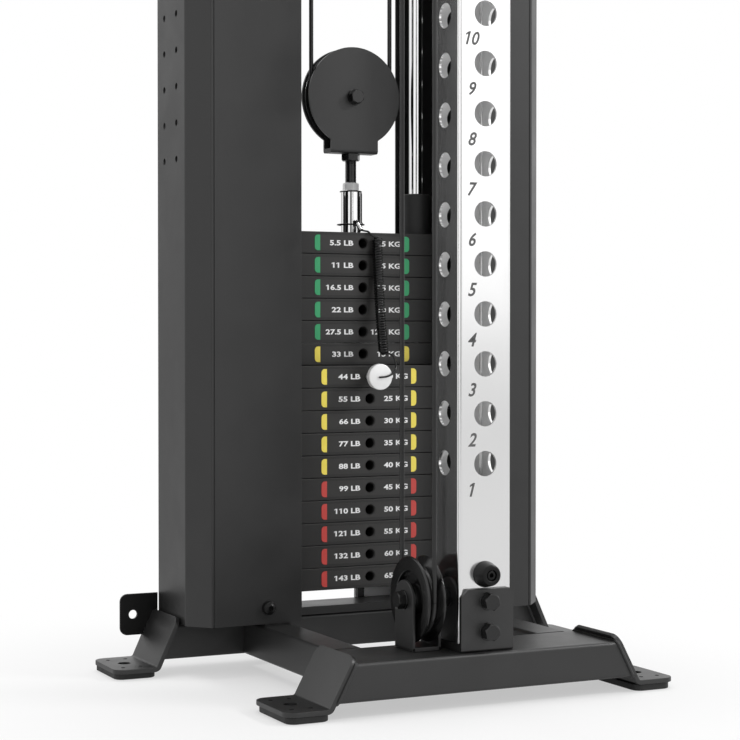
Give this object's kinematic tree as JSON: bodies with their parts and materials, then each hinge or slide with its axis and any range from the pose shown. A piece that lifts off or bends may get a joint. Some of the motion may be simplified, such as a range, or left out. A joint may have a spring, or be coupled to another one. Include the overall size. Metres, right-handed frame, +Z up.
{
  "type": "cable machine",
  "caption": "Cable strength machine: drilled chrome column with sliding carriage, pin-selected weight stack in bent steel shrouds, travelling pulley and welded foot frame.",
  "frame": {"origin": "on the floor under the middle of the whole machine's box", "axes": "+Z up, front of the drilled column towards -Y, +X to the right seen from the front"},
  "size_m": [0.592, 0.5516, 2.2027],
  "materials": {
    "powder_coat": "fine-textured black powder coat",
    "plate_paint": "matt black paint",
    "chrome": "polished chrome",
    "rubber": "matt black rubber",
    "nylon": "moulded black nylon",
    "cable_coat": "black plastic coated steel cable"
  },
  "bodies": {
    "frame": {"front_base_beam": "powder_coat", "rear_base_beam": "powder_coat", "left_side_beam": "powder_coat", "right_side_beam": "powder_coat", "pad_front_left": "rubber", "pad_front_right": "rubber", "pad_rear_left": "rubber", "pad_rear_right": "rubber", "column": "chrome", "column_shoe": "powder_coat", "carriage_bumper": "rubber", "stack_base_plate": "powder_coat", "left_shroud": "powder_coat", "right_shroud": "powder_coat", "link_plate": "powder_coat", "left_guide_rod": "chrome", "right_guide_rod": "chrome", "left_buffer": "rubber", "right_buffer": "rubber", "low_pulley_bracket": "powder_coat", "top_beam": "powder_coat", "stack_top_plate": "powder_coat", "upper_pulley_plate": "powder_coat", "cable_low_strand": "cable_coat", "cable_return_run": "cable_coat", "cable_lift_loop": "cable_coat", "cable_top_run": "cable_coat", "cable_upper_strand": "cable_coat", "weight_plate_08": "plate_paint", "weight_plate_09": "plate_paint", "weight_plate_10": "plate_paint", "weight_plate_11": "plate_paint", "weight_plate_12": "plate_paint", "weight_plate_13": "plate_paint", "weight_plate_14": "plate_paint", "weight_plate_15": "plate_paint", "weight_plate_16": "plate_paint"},
    "lifted_weights": {"weight_plate_01": "plate_paint", "weight_plate_02": "plate_paint", "weight_plate_03": "plate_paint", "weight_plate_04": "plate_paint", "weight_plate_05": "plate_paint", "weight_plate_06": "plate_paint", "weight_plate_07": "plate_paint", "selector_rod": "chrome", "pulley_yoke": "powder_coat", "pin_lanyard": "rubber"},
    "travelling_pulley": {"travelling_pulley": "nylon"},
    "selector_pin": {"selector_pin": "chrome"},
    "low_pulley": {"low_pulley": "nylon"},
    "front_top_pulley": {"front_top_pulley": "nylon"},
    "rear_top_pulley": {"rear_top_pulley": "nylon"},
    "front_diagonal_pulley": {"front_diagonal_pulley": "nylon"},
    "rear_diagonal_pulley": {"rear_diagonal_pulley": "nylon"},
    "carriage": {"carriage": "powder_coat"},
    "pop_pin": {"pop_pin": "rubber"},
    "swivel_fork": {"swivel_fork": "powder_coat"},
    "exit_pulley": {"exit_pulley": "nylon"},
    "cable_end": {"cable_stop_ball": "rubber", "snap_hook": "chrome"}
  },
  "joints": [
    {"name": "stack_lift", "type": "slide", "parent": "frame", "child": "lifted_weights", "axis": [0, 0, 1], "range_m": [0, 1.1], "deforming": ["cable_lift_loop"]},
    {"name": "travelling_pulley_spin", "type": "hinge", "parent": "lifted_weights", "child": "travelling_pulley", "pos_m": [0, 0.2238, 0.643], "axis": [0, 1, 0], "range_deg": [-1271, 0]},
    {"name": "rear_diagonal_spin", "type": "hinge", "parent": "frame", "child": "rear_diagonal_pulley", "pos_m": [0.03828, 0.18998, 2.16], "axis": [0.9475, -0.3198, 0], "range_deg": [0, 3533]},
    {"name": "front_diagonal_spin", "type": "hinge", "parent": "frame", "child": "front_diagonal_pulley", "pos_m": [-0.04358, -0.05257, 2.16], "axis": [0.9475, -0.3198, 0], "range_deg": [0, 3533]},
    {"name": "selector_pin_pull", "type": "slide", "parent": "lifted_weights", "child": "selector_pin", "axis": [0, -1, 0], "range_m": [0, 0.075], "deforming": ["pin_lanyard"]},
    {"name": "carriage_slide", "type": "slide", "parent": "frame", "child": "carriage", "axis": [0, 0, 1], "range_m": [-0.8, 0.8], "deforming": ["cable_low_strand", "cable_upper_strand"]},
    {"name": "low_pulley_spin", "type": "hinge", "parent": "frame", "child": "low_pulley", "pos_m": [-0.055, -0.0507, 0.1045], "axis": [1, 0, 0], "range_deg": [-1286, 1286]},
    {"name": "front_top_spin", "type": "hinge", "parent": "frame", "child": "front_top_pulley", "pos_m": [-0.055, 0.0207, 2.097], "axis": [1, 0, 0], "range_deg": [-1286, 1286]},
    {"name": "rear_top_spin", "type": "hinge", "parent": "frame", "child": "rear_top_pulley", "pos_m": [-0.0497, 0.1881, 2.097], "axis": [1, 0, 0], "range_deg": [-1286, 1286]},
    {"name": "pop_pin_engage", "type": "slide", "parent": "carriage", "child": "pop_pin", "axis": [-1, 0, 0], "range_m": [0, 0.01]},
    {"name": "fork_swivel", "type": "hinge", "parent": "carriage", "child": "swivel_fork", "pos_m": [-0.055, -0.0864, 1.085], "axis": [0, 0, 1], "range_deg": [-90, 25]},
    {"name": "exit_pulley_spin", "type": "hinge", "parent": "swivel_fork", "child": "exit_pulley", "pos_m": [-0.055, -0.1221, 1.085], "axis": [1, 0, 0], "range_deg": [-3533, 0]},
    {"name": "cable_pull", "type": "slide", "parent": "swivel_fork", "child": "cable_end", "axis": [0, -1, 0], "range_m": [0, 2.2]}
  ],
  "couplings": [
    {"joint": "travelling_pulley_spin", "follows": "stack_lift", "rad_per_m": -20.121},
    {"joint": "rear_diagonal_spin", "follows": "stack_lift", "rad_per_m": 56.022},
    {"joint": "front_diagonal_spin", "follows": "stack_lift", "rad_per_m": 56.022},
    {"joint": "exit_pulley_spin", "follows": "stack_lift", "rad_per_m": -56.022},
    {"joint": "cable_pull", "follows": "stack_lift", "ratio": 2},
    {"joint": "low_pulley_spin", "follows": "carriage_slide", "rad_per_m": -28.011},
    {"joint": "front_top_spin", "follows": "carriage_slide", "rad_per_m": 28.011},
    {"joint": "rear_top_spin", "follows": "carriage_slide", "rad_per_m": 28.011}
  ]
}
